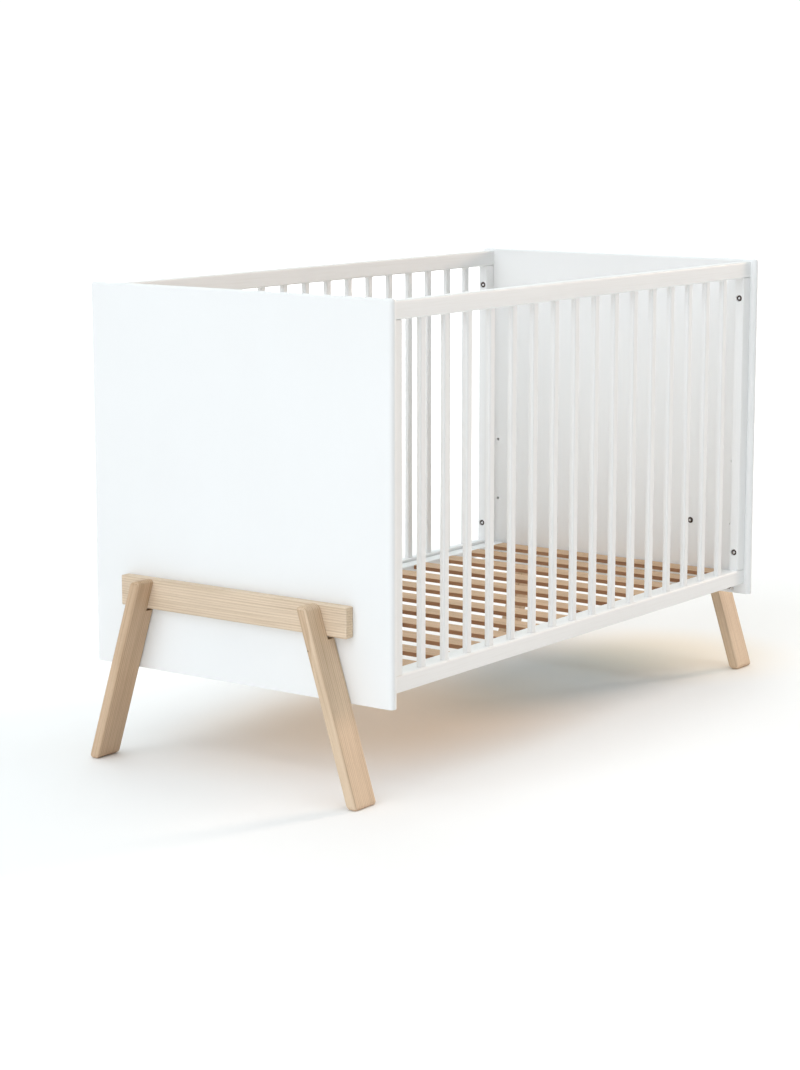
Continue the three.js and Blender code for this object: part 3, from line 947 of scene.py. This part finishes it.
for end, sign in ENDS.items():
    for side in SIDES:
        corner = f"{end}_{side}"
        node = "leg_bolt_" + corner
        place = leg_bolt_places(end)[side]
        length = max(abs(edge[0]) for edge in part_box(node)) - abs(place[0])
        add_bolt(node, place, -sign, LEG_BOLT_WASHER, BUTTON_RADIUS, length, "crib_frame", node)
        for which, entry in stile_bolt_places(end, side).items():
            seat = (entry[0] + sign * STILE_BOLT_BORE_DEPTH, *entry[1:])
            length = abs(place[0]) + STILE_BOLT_IN_PANEL - abs(seat[0])
            name = f"stile_bolt_{which}_{corner}"
            add_bolt(name, seat, -sign, STILE_BOLT_WASHER, STILE_SHANK_RADIUS, length, "crib_frame")
print("bolts:", 3 * len(ENDS) * len(SIDES))

# %% [markdown]
# ## Brackets
# An angle of plate steel under each end of a side rail carries the base. It is bent, not welded,
# so its outline has a round outside the bend and a smaller one inside it, about one centre. Two
# boxes joined at a right angle would show at once that they were never bent.

# %% Bend the brackets
BEND_STEPS = 6
PLATE = 0.002
BEND_OUTSIDE = 0.003
BRACKET_BOLT_WASHER = 0.0058


def bracket_mesh(node, sign):
    """An angle bent from plate. Its outline runs down the flange's back, and round the bend on
    two arcs about one centre: the outer of BEND_OUTSIDE and the inner a plate's thickness less."""
    low, high = (np.array(corner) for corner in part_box(node))
    back = max(abs(low[0]), abs(high[0]))
    reach = high[0] - low[0]
    t = np.linspace(0, math.pi / 2, BEND_STEPS + 1)
    arc = np.stack([np.cos(t), np.sin(t)], axis=-1)
    centre = np.array([back - BEND_OUTSIDE, high[2] - BEND_OUTSIDE])
    outer = centre + BEND_OUTSIDE * arc
    inner = (centre + (BEND_OUTSIDE - PLATE) * arc)[::-1]
    tips = {"shelf": [(back - reach, high[2]), (back - reach, high[2] - PLATE)],
            "flange": [(back - PLATE, low[2]), (back, low[2])]}
    outline = np.concatenate([outer, tips["shelf"], inner, tips["flange"]])
    rings = np.empty((2, len(outline), 3))
    rings[..., 0] = sign * outline[:, 0]
    rings[..., 1] = np.array([low[1], high[1]])[:, None]
    rings[..., 2] = outline[:, 1]
    if sign > 0:
        rings = rings[:, ::-1]
    return shell_mesh(node, rings)


for end, sign in ENDS.items():
    for side in SIDES:
        node = f"base_bracket_{end}_{side}"
        middle = middle_and_half(node)[0]
        face = max(abs(edge[0]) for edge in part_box(node)) - PLATE
        add_piece("bent_" + node, bracket_mesh(node, sign), steel, "bed_base", "steel", node)
        add_bolt(f"base_bolt_{end}_{side}", (sign * face, middle[1], lowest_level), -sign,
                 BRACKET_BOLT_WASHER, BUTTON_RADIUS, PLATE / 2, "bed_base", node)
print("brackets:", len(ENDS) * len(SIDES))

# %% [markdown]
# ## The studio
# The floor is white and runs far past the frame. Three soft tints give it the colours that light
# has under a crib: brown from the timber, grey in the deep shade and a warm glow beyond. A real
# studio curves its paper up behind the object. Here the flat floor glows far out instead, so that
# it meets the white sky without a line.

# %% Tint the floor
# Each tint of the floor: its middle, how far it reaches along X and Y, and its colour.
FLOOR_TINTS = {
    "timber_bounce": ((-0.12, 0.04), (0.50, 0.34), (0.90, 0.78, 0.66)),
    "deep_shade": ((0.35, -0.02), (0.42, 0.25), (0.62, 0.70, 0.74)),
    "lamp_glow": ((0.66, -0.10), (0.28, 0.28), (1.00, 0.91, 0.79)),
}
TINT_FULL, TINT_GONE = 0.25, 1.20


def tinted(tree, point, tone, middle, reach, colour):
    """The tone times a colour that fades out with ((x - x0) / a)^2 + ((y - y0) / b)^2."""
    squashed = add_node(tree, "ShaderNodeMapping", {
        "Vector": point, "Location": (-middle[0] / reach[0], -middle[1] / reach[1], 0),
        "Scale": (1 / reach[0], 1 / reach[1], 1),
    })
    away = add_node(tree, "ShaderNodeVectorMath", {0: squashed.outputs["Vector"]}, operation="LENGTH")
    near = add_node(tree, "ShaderNodeMapRange", {
        "Value": away.outputs["Value"], "From Min": TINT_FULL, "From Max": TINT_GONE,
        "To Min": 1.0, "To Max": 0.0,
    }, interpolation_type="SMOOTHSTEP").outputs["Result"]
    return mix_colours(tree, "MULTIPLY", near, tone, (*colour, 1))


print("tints:", *FLOOR_TINTS)

# %% [markdown]
# ## Laying the floor
# One flat square is enough, since its paint does the rest. The glow is shown to the camera only.
# If it lit the crib too, it would wash out the soft shadows that the lights cast.

# %% Lay the floor
GLOW_STARTS, GLOW_FULL = 1.5, 3.5
FLOOR_HALF = 30.0


def floor_paint():
    """A pale matt floor with the faintest mottle, tinted under the crib. Far out it glows, like
    a lit cove, but only for the camera."""
    material, shader = new_material("studio_floor")
    tree = material.node_tree
    point = add_node(tree, "ShaderNodeTexCoord").outputs["Object"]
    clouds = stretched_noise(tree, point, (1.5, 1.5, 1.5), detail=2.0)
    tone = ramp(tree, clouds, [(0.3, (0.94, 0.94, 0.94)), (0.7, (0.95, 0.95, 0.95))])
    for middle, reach, colour in FLOOR_TINTS.values():
        tone = tinted(tree, point, tone, middle, reach, colour)
    tree.links.new(tone, shader.inputs["Base Color"])
    away = add_node(tree, "ShaderNodeVectorMath", {0: point}, operation="LENGTH")
    glow = add_node(tree, "ShaderNodeMapRange", {
        "Value": away.outputs["Value"], "From Min": GLOW_STARTS, "From Max": GLOW_FULL,
    }, interpolation_type="SMOOTHSTEP").outputs["Result"]
    seen = add_node(tree, "ShaderNodeLightPath").outputs["Is Camera Ray"]
    shown = add_node(tree, "ShaderNodeMath", {0: glow, 1: seen}, operation="MULTIPLY")
    tree.links.new(shown.outputs[0], shader.inputs["Emission Strength"])
    shader.inputs["Emission Color"].default_value = (1, 1, 1, 1)
    shader.inputs["Roughness"].default_value = 0.9
    shader.inputs["Specular IOR Level"].default_value = 0.1
    return material


def add_floor():
    """One square of floor at height 0."""
    mesh = bpy.data.meshes.new("floor")
    corners = [(FLOOR_HALF * x, FLOOR_HALF * y, 0) for x, y in ((-1, -1), (1, -1), (1, 1), (-1, 1))]
    mesh.from_pydata(corners, [], [(0, 1, 2, 3)])
    floor = bpy.data.objects.new("floor", mesh)
    floor.data.materials.append(floor_paint())
    bpy.context.scene.collection.objects.link(floor)
    return floor


print(add_floor().name, "is", 2 * FLOOR_HALF, "m wide")

# %% [markdown]
# ## The lights
# A broad cool light stands off the left end, a weaker one fills the far corner, and an even one
# hangs overhead. A low warm light comes from the right, under the crib's side. It warms the outer
# faces of the legs and stops where the panel shades them. Lamps of a real size would do as well,
# but distant lights with wide angles give soft shadows that are the same all over the crib.

# %% Hang the lights
# Each light: its azimuth, its elevation and its angle in degrees, its strength and its colour.
SUNS = {
    "overhead": (0.0, 89.0, 90.0, 2.04, (0.97, 1.0, 0.99)),
    "left_end": (180.0, 25.0, 60.0, 1.72, (0.83, 0.875, 0.925)),
    "far_corner": (45.0, 25.0, 60.0, 0.69, (0.79, 0.96, 1.0)),
    "low_warm": (-18.0, 12.0, 12.0, 1.6, (1.0, 0.77, 0.62)),
}
SKY_SEEN = 1.05
SKY_CAST = (0.10, 0.10, 0.10)


def add_sun(name, azimuth, elevation, angle, strength, colour):
    """A distant light. Azimuth 0 shines from +X and 90 from +Y. A wide angle makes it soft."""
    data = bpy.data.lights.new(name, "SUN")
    data.angle, data.energy, data.color = math.radians(angle), strength, colour
    light = bpy.data.objects.new(name, data)
    light.rotation_euler = (math.radians(90 - elevation), 0.0, math.radians(azimuth + 90))
    bpy.context.scene.collection.objects.link(light)


def light_world(seen, cast):
    """An even sky: one brightness where the camera sees it, and another for what it casts."""
    world = bpy.data.worlds.new("studio")
    bpy.context.scene.world = world
    world.use_nodes = True
    tree = world.node_tree
    tree.nodes.clear()
    path = add_node(tree, "ShaderNodeLightPath").outputs["Is Camera Ray"]
    white = add_node(tree, "ShaderNodeBackground", {"Color": (1, 1, 1, 1), "Strength": seen})
    soft = add_node(tree, "ShaderNodeBackground", {"Color": (*cast, 1), "Strength": 1.0})
    both = add_node(tree, "ShaderNodeMixShader", {0: path, 1: soft.outputs[0], 2: white.outputs[0]})
    add_node(tree, "ShaderNodeOutputWorld", {"Surface": both.outputs[0]})


light_world(SKY_SEEN, SKY_CAST)
for name, sun in SUNS.items():
    add_sun(name, *sun)
bpy.context.scene.view_settings.view_transform = "Standard"
